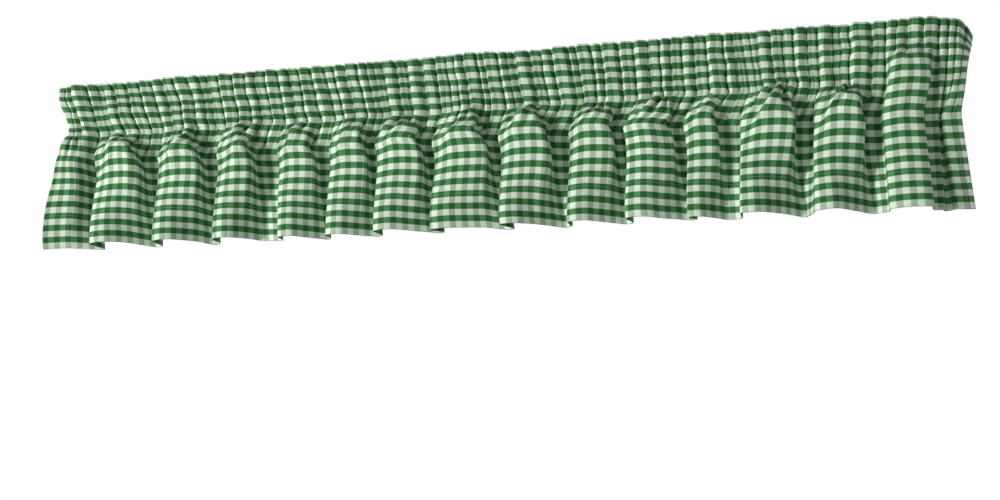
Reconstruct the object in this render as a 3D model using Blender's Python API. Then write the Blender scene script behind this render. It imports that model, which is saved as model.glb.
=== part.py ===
"""Gathered window valance: one panel of check cotton drawn up along its heading.

The panel hangs in the XZ plane, +Z up, with its front towards -Y. The origin is the middle of the
top edge. The cloth is bent, not stretched: every level of the panel is one curve whose length is
the flat width, and the height of each point follows from the length of cloth above it.
"""
import math
from dataclasses import dataclass
from enum import Enum
from typing import Any, Callable

import bmesh
import bpy
import numpy as np

# The panel
SHEET_THICKNESS = 1.6
NODE_NAME = "valance_panel"
MM_PER_M = 1000.0

# Levels below the top edge at which the fold table states its columns, in millimetres
TOP_LEVEL = 0.0
MID_LEVEL = 126.0
SPREAD_LEVEL = 140.0
HEM_LEVEL = 250.0

# How the cloth opens below the drawn-up heading, in millimetres
GATHER_LEVEL = 82.0
OPENING_HASTE = 2.0
UPPER_TUCK = -8.0
HEM_TUCK = -4.0
SPREAD_DELAY = 1.2
HEADING_STILL = 28.0
HEADING_SWELL = 0.12
THROAT_LENGTH = 48.0
RECESS_SETBACK = 15.0
SETBACK_LENGTH = 80.0
PLEAT_FADE_CREST = 42.0
PLEAT_FADE_RECESS = 66.0
LIFT_SHARE = 0.3
ROW_LIFT = 6.0
ROW_LIFT_START = 24.0
ROW_LIFT_FADE = 90.0
ROW_STEP = 0.34
ROW_RETURN = (0.7, 0.9)
LEAST_UPRIGHT = 0.25
FULLNESS = 1.54

# Softness of the bends, as shares of a fold's flat width, and the steepest turns
SHARP_BEND = 0.085
SOFT_BEND = 0.26
SLOPE_BEND = 0.12
SLOPE_WIDTH = 0.32
SLOPE_DRIFT = 80.0
SLOPE_HOLD = 25.0
SLOPE_FADE = 85.0
BACK_BEND = 0.06
BACK_TURN = math.radians(60.0)
LONGEST_FLANK = 0.42
LONGEST_FALL = 0.75
CROWN_END = math.radians(-10.0)
PLEAT_RISE = 0.36
PLEAT_FALL = 0.20
PLEAT_BEND = 0.12
PLEAT_RISE_TURN = 0.86
PLEAT_TILT = 0.15
PLEAT_WANDER = 0.05
WANDER_DROP = 71.0
WANDER_RUN = 150.0
STEEPEST_END = math.radians(112.0)
STEEPEST_SLOPE = math.radians(80.0)
STEEPEST_RECESS = math.radians(85.0)
STEEPEST_PLEAT = math.radians(92.0)
STEEPEST_IN_HEADING = math.radians(80.0)
SLACK_BELOW = math.radians(70.0)
DIP_LEFT_AT_HEM = 0.3
HALVINGS = 20
FACE_SAMPLES = 41
MOST_TUCKED = 0.8
END_WAVE = 0.62

# How far the left corner of the skirt droops and how wide that part is, in millimetres
CORNER_DROOP = 8.0
CORNER_WIDTH = 32.0

# The loose end of the heading that curls back, in millimetres, and how fast it curls and sags
EAR_WIDTH = 22.0
EAR_HEIGHT = 70.0
EAR_SETBACK = 17.0
EAR_DROOP = 18.0
EAR_CURL = 1.5
EAR_SAG = 2.0
RETURN_START = 590.0
RETURN_SETBACK = 12.0

# Where the mesh follows the cloth: steps across each heading pleat and levels in millimetres
FINE_PER_PLEAT = 16
KEPT_STEPS = (0, 6, 13)
FINE_STEP = 2.0
LEVELS = (0.0, 44.0, 76.0, 88.0, 98.0, 108.0, 118.0, 150.0, 198.0, 250.0)

# Cloth colour and finish
COTTON_GREEN = (0.115, 0.262, 0.140, 1.0)
COTTON_ROUGHNESS = 0.92


class FoldPlace(Enum):
    """Where a fold stands along the valance."""

    LEFT_END = "left end"
    BETWEEN = "between its neighbours"
    RIGHT_END = "right end"


@dataclass(frozen=True)
class Fold:
    """One fold of the skirt with the heading pleats above it.

    Each pair holds the value in the upper skirt and at the hem. The face is a share of the flat
    width, the slope lies at shares of the face, and the turns of the flanks, the tilt of the face,
    its dip and its slope are in degrees. The tuck is how far in millimetres the cloth behind runs
    on past the left edge at the hem. Spread says how far the right flank opens by the hem. The
    fold opens at a level and over a length in millimetres. Its line leans right by so many
    millimetres at the gathers, where its face is narrower by the share named throat.
    """

    name: str
    top: float
    mid: float
    hem: float
    pleats: tuple[int, ...]
    face: tuple[float, float] = (0.46, 0.13)
    rise: float = 97.0
    fall: float = 95.0
    tuck: float = 4.0
    tilt: tuple[float, float] = (15.0, 18.0)
    dip: float = 0.0
    slope: tuple[float, float] = (0.55, 0.14)
    slope_turn: float = 32.0
    spread: float = 1.0
    opens: float = GATHER_LEVEL
    opening: float = 36.0
    lean: float = 11.0
    throat: float = 0.13


# name, x of the left edge at the top, middle and hem in mm, widths of its pleats in mm, then shape
FOLDS: tuple[Fold, ...] = (
    Fold("F00", -646, -630, -649, (12, 10, 22), face=(0.50, 0.45), tilt=(4.0, -24.0), tuck=0.0,
         slope_turn=0.0, opening=110.0, lean=14.0, throat=0.0),
    Fold("F01", -602, -574, -577, (18, 10, 17, 21, 20, 20), face=(0.46, 0.14), tuck=14.0,
         slope=(0.60, 0.20), slope_turn=36.0),
    Fold("F02", -497, -470, -474, (19, 18, 21, 19, 13, 17), face=(0.44, 0.14), slope=(0.50, 0.12)),
    Fold("F03", -389, -377, -383, (21, 20, 17, 16, 20), face=(0.37, 0.16), slope=(0.70, 0.25),
         slope_turn=40.0),
    Fold("F04", -295, -286, -282, (17, 15, 18, 20), face=(0.48, 0.16), tuck=0.0,
         slope=(0.40, 0.12)),
    Fold("F05", -224, -206, -212, (14, 17, 18, 15, 12), face=(0.49, 0.18), tuck=2.0,
         slope=(0.50, 0.20), slope_turn=26.0),
    Fold("F06", -149, -137, -141, (13, 21, 15, 22, 20), face=(0.50, 0.15), tuck=8.0,
         slope_turn=22.0),
    Fold("F07", -58, -56, -63, (16, 12, 14, 19, 10, 19), face=(0.52, 0.12), tuck=20.0,
         slope=(0.55, 0.18), slope_turn=36.0),
    Fold("F08", 32, 38, 36, (14, 11, 21, 15, 15, 22), face=(0.46, 0.12), tuck=20.0,
         slope=(0.42, 0.12), slope_turn=34.0),
    Fold("F09", 132, 138, 132, (12, 21, 14, 23, 19), face=(0.48, 0.15), slope=(0.34, 0.12)),
    Fold("F10", 221, 213, 209, (19, 16, 15, 15, 17), face=(0.50, 0.20), tuck=10.0,
         tilt=(8.0, 12.0), dip=24.0, slope_turn=0.0),
    Fold("F11", 303, 291, 290, (15, 21, 14, 12), face=(0.42, 0.15), tuck=14.0,
         slope=(0.48, 0.12), slope_turn=36.0),
    Fold("F12", 365, 364, 360, (12, 9, 18, 15, 14, 17, 13), face=(0.48, 0.13), tuck=2.0,
         slope=(0.60, 0.16), slope_turn=36.0),
    Fold("F13", 463, 459, 457, (20, 11, 13, 26, 17), face=(0.47, 0.16), tuck=-8.0,
         slope=(0.58, 0.14), slope_turn=38.0, lean=4.0),
    Fold("F14", 551, 543, 547, (15, 12, 20, 18), face=(0.50, 0.42), rise=86.0, tuck=-4.0,
         tilt=(8.0, 12.0), dip=16.0, slope_turn=0.0, spread=0.1, opens=26.0, opening=64.0,
         lean=0.0, throat=0.0),
    Fold("F15", 617, 608, 610, (9, 7, 8, 7), tuck=0.0, tilt=(-18.0, -24.0), lean=0.0),
)
RIGHT_EDGE = Fold("right_edge", 660, 639, 651, (), tuck=0.0, lean=0.0)


def soft_step(value: np.ndarray) -> np.ndarray:
    """Rise smoothly from 0 to 1 as the value goes from 0 to 1."""
    clipped = np.clip(value, 0.0, 1.0)
    return clipped * clipped * (3.0 - 2.0 * clipped)


def band(share: np.ndarray, start: Any, end: Any, bend_in: Any = SHARP_BEND,
         bend_out: Any = SHARP_BEND) -> np.ndarray:
    """Return 1 between two shares of a fold and 0 outside, with soft ends.

    Args:
        share: Places across the fold.
        start: Where the band starts.
        end: Where the band ends.
        bend_in: How softly it starts.
        bend_out: How softly it ends.

    Returns:
        The weight at each place.
    """
    rise = soft_step((share - start) / bend_in + 0.5)
    drop = soft_step((end - share) / bend_out + 0.5)
    return rise * drop


def back_line(levels: np.ndarray, fold: Fold, tucked: bool = True) -> np.ndarray:
    """Place the line down the panel at which a fold starts, behind its left edge.

    Args:
        levels: Levels below the top edge, in millimetres.
        fold: The fold's row of the table.
        tucked: Whether the line moves over to the fold's tuck at the hem.

    Returns:
        The x of the line on each level, in millimetres.
    """
    gathered = fold.top + (fold.mid - fold.top) * GATHER_LEVEL / MID_LEVEL + fold.lean
    mid, inner = fold.mid, fold not in (FOLDS[0], FOLDS[-1], RIGHT_EDGE)
    hem = fold.hem + fold.tuck * tucked
    if inner:
        mid, hem = mid + UPPER_TUCK, hem + HEM_TUCK
    return np.interp(levels, (TOP_LEVEL, GATHER_LEVEL, MID_LEVEL, HEM_LEVEL),
                     (fold.top, gathered, mid, hem))[:, None]


def halve_to(target: np.ndarray, measure: Callable[[np.ndarray], np.ndarray],
             most: float) -> np.ndarray:
    """Find by halving the value at which a falling measure meets the target on every level.

    Args:
        target: What the measure is to reach on each level.
        measure: Gives the measure that a value on each level leads to.
        most: The largest value allowed.

    Returns:
        The value on each level.
    """
    low = np.zeros_like(target)
    high = np.full_like(target, most)
    for _ in range(HALVINGS):
        middle = (low + high) / 2.0
        too_small = measure(middle) > target
        low = np.where(too_small, middle, low)
        high = np.where(too_small, high, middle)
    return (low + high) / 2.0


def smooth_across(values: np.ndarray, columns: int) -> np.ndarray:
    """Average each level over a few columns either side, repeating the ends."""
    kernel = np.hanning(2 * columns + 3)[1:-1]
    kernel = kernel / kernel.sum()
    padded = np.pad(values, ((0, 0), (columns, columns)), mode="edge")
    return np.stack([np.convolve(row, kernel, mode="valid") for row in padded])


class FoldCurve:
    """Direction of the cloth across one fold, level by level."""

    def __init__(self, fold: Fold, following: Fold, levels: np.ndarray,
                 steps_per_pleat: int) -> None:
        """Lay the fold out flat.

        Args:
            fold: The fold's row of the table.
            following: The row to its right, where the fold ends.
            levels: Levels below the top edge, in millimetres.
            steps_per_pleat: How many steps each heading pleat gets.
        """
        self.fold = fold
        self.place = (FoldPlace.LEFT_END if fold is FOLDS[0] else
                      FoldPlace.RIGHT_END if fold is FOLDS[-1] else FoldPlace.BETWEEN)
        self.left = back_line(levels, fold)
        self.width = back_line(levels, following) - self.left
        self.plumb_width = back_line(levels, following, False) - back_line(levels, fold, False)
        stated = ((following.top - fold.top) + (following.mid - fold.mid)
                  + (following.hem - fold.hem)) / 3.0
        self.flat_width = FULLNESS * stated
        steps = steps_per_pleat * len(fold.pleats)
        edges = np.concatenate(((0.0,), np.cumsum(fold.pleats))) / sum(fold.pleats)
        pleat_count = np.linspace(0.0, len(fold.pleats), steps + 1)
        self.share_edges = np.interp(pleat_count, np.arange(len(fold.pleats) + 1), edges)
        self.share = ((self.share_edges[1:] + self.share_edges[:-1]) / 2.0)[None, :]
        self.step = np.diff(self.share_edges)[None, :]
        middles = (pleat_count[1:] + pleat_count[:-1]) / 2.0
        place = fold.top + (following.top - fold.top) * self.share
        self.phase = middles[None, :] + PLEAT_WANDER * np.sin(
            2.0 * math.pi * (levels[:, None] / WANDER_DROP + place / WANDER_RUN))
        widths = np.array(fold.pleats, dtype=float)
        self.sharpness = np.interp(middles, np.arange(len(widths)) + 0.5,
                                   np.sqrt(widths.mean() / widths))[None, :]
        self.below = (levels - GATHER_LEVEL)[:, None]
        self.setback = RECESS_SETBACK * soft_step(self.below / SETBACK_LENGTH)
        swell = HEADING_SWELL * soft_step(
            (levels[:, None] - HEADING_STILL) / (GATHER_LEVEL - HEADING_STILL))
        open_share = np.clip((levels[:, None] - fold.opens) / fold.opening, 0.0, 1.0)
        opened = 1.0 - (1.0 - open_share) ** OPENING_HASTE
        self.opening = swell + (1.0 - swell) * opened

    def shaped(self, pair: tuple[float, float], start: float = SPREAD_LEVEL) -> np.ndarray:
        """Interpolate a pair of shape values between a level and the hem."""
        return pair[0] + (pair[1] - pair[0]) * soft_step(
            (self.below + GATHER_LEVEL - start) / (HEM_LEVEL - start))

    def width_of(self, angle: np.ndarray) -> np.ndarray:
        """Measure how wide the bent cloth is."""
        return (np.cos(angle) * self.step).sum(axis=1, keepdims=True) * self.flat_width

    def depth_left_over(self, angle: np.ndarray) -> np.ndarray:
        """Measure how far forward the fold ends, which is nothing once it closes."""
        return (np.sin(angle) * self.step).sum(axis=1, keepdims=True)

    def profile(self, across: np.ndarray) -> np.ndarray:
        """Return the direction of the face, from its left edge at 0 to its right edge at 1."""
        tilt = np.radians(self.shaped(self.fold.tilt, MID_LEVEL))
        crown = tilt + (CROWN_END - tilt) * across
        fading = self.shaped((1.0, DIP_LEFT_AT_HEM), MID_LEVEL)
        dip = math.radians(self.fold.dip) * fading * np.sin(2.0 * math.pi * across)
        drift = self.fold.slope[1] - self.fold.slope[0]
        middle = self.fold.slope[0] + drift * soft_step(self.below / SLOPE_DRIFT)
        raised_by = math.radians(self.fold.slope_turn) * (
            1.0 - soft_step((self.below - SLOPE_HOLD) / SLOPE_FADE))
        slope = band(across, middle - SLOPE_WIDTH / 2.0, middle + SLOPE_WIDTH / 2.0, SLOPE_BEND,
                     SLOPE_BEND)
        return crown + dip + raised_by * slope

    def upper_angle(self) -> np.ndarray:
        """Bend the fold as it hangs in the upper skirt, with a broad face and steep flanks.

        The flanks turn as far as the table says, and their lengths are what is solved for.

        Returns:
            The direction of the cloth at each step of each level, in radians.
        """
        face = self.fold.face[0] - self.fold.throat * (
            1.0 - soft_step(self.below / THROAT_LENGTH))
        face = face / np.cos(self.profile(np.linspace(0.0, 1.0, FACE_SAMPLES)[None, :])).mean(
            axis=1, keepdims=True)
        rise, fall = math.radians(self.fold.rise), math.radians(self.fold.fall)
        self.face_width = face

        def laid_out(left: np.ndarray) -> np.ndarray:
            """Set the face after a left flank of this length and take the right flank back."""
            self.face_start = left + SHARP_BEND / 2.0
            face_end = self.face_start + face
            across = np.clip((self.share - self.face_start) / face, 0.0, 1.0)
            raised = rise * band(self.share, SHARP_BEND / 2.0, self.face_start)
            raised = raised + self.profile(across) * band(self.share, self.face_start, face_end)

            def closed(right: np.ndarray) -> np.ndarray:
                """Add a right flank of this length."""
                self.recess_start = np.minimum(face_end + right, 1.0 - SHARP_BEND / 2.0)
                return raised - fall * band(self.share, face_end, self.recess_start)

            return closed(halve_to(np.zeros_like(left),
                                   lambda right: self.depth_left_over(closed(right)),
                                   LONGEST_FALL))

        return laid_out(halve_to(self.plumb_width, lambda left: self.width_of(laid_out(left)),
                                 LONGEST_FLANK))

    def lower_angle(self) -> np.ndarray:
        """Bend the fold as it hangs at the hem, where it slopes back from its left edge.

        The same cloth turns at the same places as above, so that its threads hang plumb. How far
        it slopes back and how far the recess comes forward again are what is solved for.

        Returns:
            The direction of the cloth at each step of each level, in radians.
        """
        start = np.maximum(self.face_start, abs(self.fold.tuck) / MOST_TUCKED / self.flat_width)
        crest_end = start + self.fold.face[1]
        rise = np.arccos(np.clip(-self.fold.tuck / (start * self.flat_width),
                                 -MOST_TUCKED, MOST_TUCKED))
        tilt = math.radians(self.fold.tilt[1])
        from_back = soft_step(self.share / BACK_BEND)
        to_back = soft_step((self.share - 1.0 + BACK_BEND) / BACK_BEND)
        turned = soft_step((start - self.share) / SHARP_BEND + 0.5)
        crest = tilt * band(self.share, start, crest_end, SHARP_BEND, SOFT_BEND)
        slope = band(self.share, crest_end, self.recess_start, SOFT_BEND, SHARP_BEND)
        recess = soft_step((self.share - self.recess_start) / SHARP_BEND + 0.5)
        left = (rise * from_back + BACK_TURN * (1.0 - from_back)) * turned

        def forward(turn: np.ndarray) -> np.ndarray:
            """Bring the recess forward by this turn and slope the face back to meet it."""
            raised = left + crest + (turn * (1.0 - to_back) + BACK_TURN * to_back) * recess
            return raised - slope * halve_to(
                np.zeros_like(turn), lambda back: self.depth_left_over(raised - back * slope),
                STEEPEST_SLOPE)

        return forward(halve_to(self.width, lambda turn: self.width_of(forward(turn)),
                                STEEPEST_RECESS))

    def fold_angle(self) -> np.ndarray:
        """Bend the fold on every level.

        Returns:
            The direction of the cloth at each step of each level, in radians.
        """
        if self.place is FoldPlace.RIGHT_END:
            tilt = np.radians(self.shaped(self.fold.tilt, MID_LEVEL))
            wave = -np.sin(2.0 * math.pi * np.minimum(self.share / END_WAVE, 1.0))
            return tilt + wave * halve_to(
                self.width, lambda swing: self.width_of(tilt + swing * wave), STEEPEST_END)
        if self.place is FoldPlace.LEFT_END:
            self.face_start, self.face_width = np.zeros_like(self.below), self.shaped(self.fold.face)
            front = self.profile(self.share / self.face_width) * band(
                self.share, -SHARP_BEND, self.face_width)
            falling = band(self.share, self.face_width, 1.0 - SHARP_BEND / 2.0,
                           SHARP_BEND, SHARP_BEND)
            return front - falling * halve_to(
                self.width, lambda turn: self.width_of(front - turn * falling), STEEPEST_END)
        upper = self.upper_angle()
        spread = self.fold.spread * soft_step(
            (self.below + GATHER_LEVEL - SPREAD_LEVEL) / (HEM_LEVEL - SPREAD_LEVEL)) ** SPREAD_DELAY
        return upper + (self.lower_angle() - upper) * spread

    def row_lift(self) -> np.ndarray:
        """Return how far the rows are drawn up towards the gathers, in millimetres."""
        if self.place is not FoldPlace.BETWEEN:
            return np.zeros((len(self.below), len(self.share_edges)))
        across = (self.share_edges[None, :] - self.face_start) / self.face_width
        drift = self.fold.slope[1] - self.fold.slope[0]
        middle = self.fold.slope[0] + drift * soft_step(self.below / SLOPE_DRIFT)
        stepped = soft_step((across - middle) / ROW_STEP + 0.5)
        returned = 1.0 - soft_step((across - ROW_RETURN[0]) / ROW_RETURN[1])
        kept = soft_step(self.below / ROW_LIFT_START) * (
            1.0 - soft_step((self.below - ROW_LIFT_START) / ROW_LIFT_FADE))
        strength = math.radians(self.fold.slope_turn) / math.radians(36.0)
        return ROW_LIFT * strength * kept * stepped * returned

    def ripple(self) -> np.ndarray:
        """Return how much the pleats turn the cloth, steeply up to a crest and gently back."""
        through = self.phase % 1.0
        rising = soft_step((PLEAT_RISE - through) / PLEAT_BEND + 0.5)
        falling = soft_step((through - 1.0 + PLEAT_FALL) / PLEAT_BEND + 0.5)
        return (PLEAT_RISE_TURN * rising - falling
                - PLEAT_TILT * (1.0 - rising - falling)) * self.sharpness

    def angle(self) -> np.ndarray:
        """Blend the heading's pleats into the open fold below the gather line."""
        opened = self.opening * self.fold_angle()
        if self.place is FoldPlace.RIGHT_END:
            recess = np.ones_like(opened)
        else:
            recess = 1.0 - band(self.share, self.face_start / 2.0,
                                self.face_start + self.face_width + SHARP_BEND)
        fade = PLEAT_FADE_CREST + (PLEAT_FADE_RECESS - PLEAT_FADE_CREST) * recess
        kept = 1.0 - soft_step((self.below + GATHER_LEVEL - self.fold.opens) / fade)
        ripple = kept * self.ripple()
        steepest = STEEPEST_IN_HEADING + SLACK_BELOW * (1.0 - kept)

        def pleated(turn: np.ndarray) -> np.ndarray:
            """Turn the pleats this far, and nowhere so far that the cloth meets itself."""
            return np.clip(opened + turn * ripple, -steepest, steepest)

        return pleated(halve_to(self.width, lambda turn: self.width_of(pleated(turn)),
                                STEEPEST_PLEAT))

    def points(self) -> tuple[np.ndarray, np.ndarray]:
        """Return x and y along the fold in millimetres, one row for each level."""
        angle = self.angle()
        run = np.cumsum(np.cos(angle) * self.step, axis=1)
        rise = np.cumsum(np.sin(angle) * self.step, axis=1) * self.flat_width
        run = np.hstack((np.zeros((len(run), 1)), run / run[:, -1:]))
        rise = np.hstack((np.zeros((len(rise), 1)), rise))
        if self.place is FoldPlace.LEFT_END:
            rise = rise - rise[:, -1:]
        elif self.place is FoldPlace.BETWEEN:
            rise = rise - rise[:, -1:] * self.share_edges[None, :]
        return self.left + run * self.width, self.setback - rise


def curl_ear(x: np.ndarray, y: np.ndarray, z: np.ndarray, levels: np.ndarray) -> None:
    """Set the right end of the heading back and let its loose corner curl and droop."""
    heading = 1.0 - soft_step(levels[:, None] / GATHER_LEVEL)
    y += RETURN_SETBACK * heading * soft_step((x - RETURN_START) / (x[0, -1] - RETURN_START))
    ear = 1.0 - soft_step(levels[:, None] / EAR_HEIGHT)
    across = np.clip(1.0 - (x[:, -1:] - x) / EAR_WIDTH, 0.0, 1.0)
    y += EAR_SETBACK * ear * across ** EAR_CURL
    z -= EAR_DROOP * ear * across ** EAR_SAG


def hang_cloth(levels: np.ndarray,
               steps_per_pleat: int) -> tuple[np.ndarray, np.ndarray, np.ndarray]:
    """Return the x, y and z of the hanging panel in millimetres, by level and column."""
    curves = [FoldCurve(fold, following, levels, steps_per_pleat)
              for fold, following in zip(FOLDS, FOLDS[1:] + (RIGHT_EDGE,))]
    pieces = [curve.points() for curve in curves]
    x = np.hstack([pieces[0][0]] + [piece[0][:, 1:] for piece in pieces[1:]])
    y = np.hstack([pieces[0][1]] + [piece[1][:, 1:] for piece in pieces[1:]])
    drop = np.diff(levels)[:, None]
    lean = (np.diff(x, axis=0) ** 2 + np.diff(y, axis=0) ** 2) / drop ** 2
    steep = 1.0 - np.sqrt(np.maximum(1.0 - lean, LEAST_UPRIGHT))
    fall = smooth_across((1.0 - LIFT_SHARE * steep) * drop, steps_per_pleat)
    z = -np.vstack((np.zeros((1, x.shape[1])), np.cumsum(fall, axis=0)))
    lifts = [curve.row_lift() for curve in curves]
    z += smooth_across(np.hstack([lifts[0]] + [lift[:, 1:] for lift in lifts[1:]]),
                       steps_per_pleat // 4)
    droop = soft_step((levels[:, None] - GATHER_LEVEL) / (HEM_LEVEL - GATHER_LEVEL))
    z -= CORNER_DROOP * droop * np.exp((x[:, :1] - x) / CORNER_WIDTH)
    curl_ear(x, y, z, levels)
    return x, y, z


def clear_scene() -> None:
    """Remove whatever the file holds."""
    for old in list(bpy.data.objects):
        bpy.data.objects.remove(old, do_unlink=True)


def cotton_material() -> bpy.types.Material:
    """Make the plain cotton finish."""
    material = bpy.data.materials.new("green_check_cotton")
    material.use_nodes = True
    surface = material.node_tree.nodes["Principled BSDF"]
    surface.inputs["Base Color"].default_value = COTTON_GREEN
    surface.inputs["Roughness"].default_value = COTTON_ROUGHNESS
    surface.inputs["Metallic"].default_value = 0.0
    return material


def build_panel() -> None:
    """Bend a flat grid into the hanging panel and give it the thickness of the cloth."""
    fine_levels = np.arange(TOP_LEVEL, HEM_LEVEL + FINE_STEP / 2.0, FINE_STEP)
    x, y, z = hang_cloth(fine_levels, FINE_PER_PLEAT)
    rows = np.searchsorted(fine_levels, LEVELS)
    pleats = np.arange(0, x.shape[1] - 1, FINE_PER_PLEAT)
    inner = (pleats[:, None] + np.array(KEPT_STEPS)[None, :]).ravel()
    columns = np.append(inner, x.shape[1] - 1)

    sheet = bmesh.new()
    bmesh.ops.create_grid(sheet, x_segments=len(columns) - 1, y_segments=len(rows) - 1, size=1.0)
    sheet.verts.ensure_lookup_table()
    for index, vertex in enumerate(sheet.verts):
        row, column = divmod(index, len(columns))
        place = rows[len(rows) - 1 - row], columns[column]
        vertex.co = (x[place] / MM_PER_M, y[place] / MM_PER_M, z[place] / MM_PER_M)
    bmesh.ops.recalc_face_normals(sheet, faces=sheet.faces)
    bmesh.ops.triangulate(sheet, faces=sheet.faces)
    mesh = bpy.data.meshes.new(NODE_NAME)
    sheet.to_mesh(mesh)
    sheet.free()
    mesh.materials.append(cotton_material())
    panel = bpy.data.objects.new(NODE_NAME, mesh)
    bpy.context.collection.objects.link(panel)

    thickness = panel.modifiers.new("cloth_thickness", "SOLIDIFY")
    thickness.thickness = SHEET_THICKNESS / MM_PER_M
    thickness.offset = 0.0
    thickness.use_even_offset = False
    thickness.thickness_clamp = 0.0


def main() -> None:
    """Build the valance."""
    clear_scene()
    build_panel()


main()
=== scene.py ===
"""Gathered window valance of green and white check cotton.

One panel of cloth hangs from its drawn-up heading. Its top is turned over and stitched, its sides
and its lower edge are hemmed, and the rest falls in uneven folds. Sizes are in millimetres, +X runs
along the valance, +Z is up, and the front faces -Y. The origin is the middle of the top edge.
"""
import logging
import math
from dataclasses import dataclass
from enum import Enum
from typing import Any, Callable

import bmesh
import bpy
import numpy as np
from mathutils import Matrix, Vector

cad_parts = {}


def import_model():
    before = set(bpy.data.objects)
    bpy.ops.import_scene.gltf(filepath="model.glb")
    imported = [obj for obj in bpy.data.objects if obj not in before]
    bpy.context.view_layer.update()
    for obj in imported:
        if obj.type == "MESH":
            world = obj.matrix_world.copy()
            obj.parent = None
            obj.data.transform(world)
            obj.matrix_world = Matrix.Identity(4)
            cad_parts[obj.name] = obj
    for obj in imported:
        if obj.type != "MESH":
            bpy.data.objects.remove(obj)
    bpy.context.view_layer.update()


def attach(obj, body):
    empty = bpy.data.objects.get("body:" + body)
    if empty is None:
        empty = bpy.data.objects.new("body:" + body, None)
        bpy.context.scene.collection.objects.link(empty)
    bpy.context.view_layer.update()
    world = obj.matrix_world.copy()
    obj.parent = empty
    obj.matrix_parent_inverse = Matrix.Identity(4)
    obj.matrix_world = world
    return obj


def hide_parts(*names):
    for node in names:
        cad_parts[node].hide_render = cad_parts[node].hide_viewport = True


LOG = logging.getLogger("valance")
MM_PER_M = 1000.0
NODE_NAME = "valance_panel"

# Levels below the top edge at which the fold table states its columns, in millimetres
TOP_LEVEL = 0.0
MID_LEVEL = 126.0
SPREAD_LEVEL = 140.0
HEM_LEVEL = 250.0

# How the cloth opens below the drawn-up heading, in millimetres
GATHER_LEVEL = 82.0
OPENING_HASTE = 1.5
UPPER_TUCK = -8.0
HEM_TUCK = -4.0
SPREAD_DELAY = 1.2
HEADING_STILL = 28.0
HEADING_SWELL = 0.12
THROAT_LENGTH = 60.0
RECESS_SETBACK = 15.0
SETBACK_LENGTH = 80.0
PLEAT_FADE_CREST = 42.0
PLEAT_FADE_RECESS = 66.0
LIFT_SHARE = 0.3
ROW_LIFT = 6.0
ROW_LIFT_START = 24.0
ROW_LIFT_FADE = 90.0
ROW_STEP = 0.34
ROW_RETURN = (0.7, 0.9)
LEAST_UPRIGHT = 0.25
FULLNESS = 1.54

# Softness of the bends, as shares of a fold's flat width, and the steepest turns
SHARP_BEND = 0.085
SOFT_BEND = 0.26
SLOPE_BEND = 0.12
SLOPE_WIDTH = 0.32
SLOPE_DRIFT = 80.0
SLOPE_HOLD = 25.0
SLOPE_FADE = 85.0
BACK_BEND = 0.06
BACK_TURN = math.radians(60.0)
LONGEST_FLANK = 0.42
LONGEST_FALL = 0.75
CROWN_END = math.radians(-10.0)
PLEAT_RISE = 0.36
PLEAT_FALL = 0.20
PLEAT_BEND = 0.12
PLEAT_RISE_TURN = 0.86
PLEAT_TILT = 0.22
PLEAT_WANDER = 0.06
WANDER_DROP = 71.0
WANDER_RUN = 150.0
STEEPEST_END = math.radians(112.0)
STEEPEST_SLOPE = math.radians(80.0)
STEEPEST_RECESS = math.radians(85.0)
STEEPEST_PLEAT = math.radians(92.0)
STEEPEST_IN_HEADING = math.radians(86.0)
SLACK_BELOW = math.radians(70.0)
DIP_LEFT_AT_HEM = 0.3
HALVINGS = 20
FACE_SAMPLES = 41
MOST_TUCKED = 0.8
END_WAVE = 0.62

# The loose end of the heading that curls back, in millimetres, and how fast it curls and sags
EAR_WIDTH = 22.0
EAR_HEIGHT = 70.0
EAR_SETBACK = 17.0
EAR_DROOP = 18.0
EAR_CURL = 1.5
EAR_SAG = 2.0
RETURN_START = 590.0
RETURN_SETBACK = 12.0


class FoldPlace(Enum):
    """Where a fold stands along the valance."""

    LEFT_END = "left end"
    BETWEEN = "between its neighbours"
    RIGHT_END = "right end"


@dataclass(frozen=True)
class Fold:
    """One fold of the skirt with the heading pleats above it.

    Each pair holds the value in the upper skirt and at the hem. The face is a share of the flat
    width, the slope lies at shares of the face, and the turns of the flanks, the tilt of the face,
    its dip and its slope are in degrees. The tuck is how far in millimetres the cloth behind runs
    on past the left edge at the hem. Spread says how far the right flank opens by the hem. The
    fold opens at a level and over a length in millimetres. Its line leans right by so many
    millimetres at the gathers, where its face is narrower by the share named throat.
    """

    name: str
    top: float
    mid: float
    hem: float
    pleats: tuple[int, ...]
    face: tuple[float, float] = (0.46, 0.13)
    rise: float = 97.0
    fall: float = 95.0
    tuck: float = 4.0
    tilt: tuple[float, float] = (15.0, 18.0)
    dip: float = 0.0
    slope: tuple[float, float] = (0.55, 0.14)
    slope_turn: float = 32.0
    spread: float = 1.0
    opens: float = GATHER_LEVEL
    opening: float = 50.0
    lean: float = 11.0
    throat: float = 0.22


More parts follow.
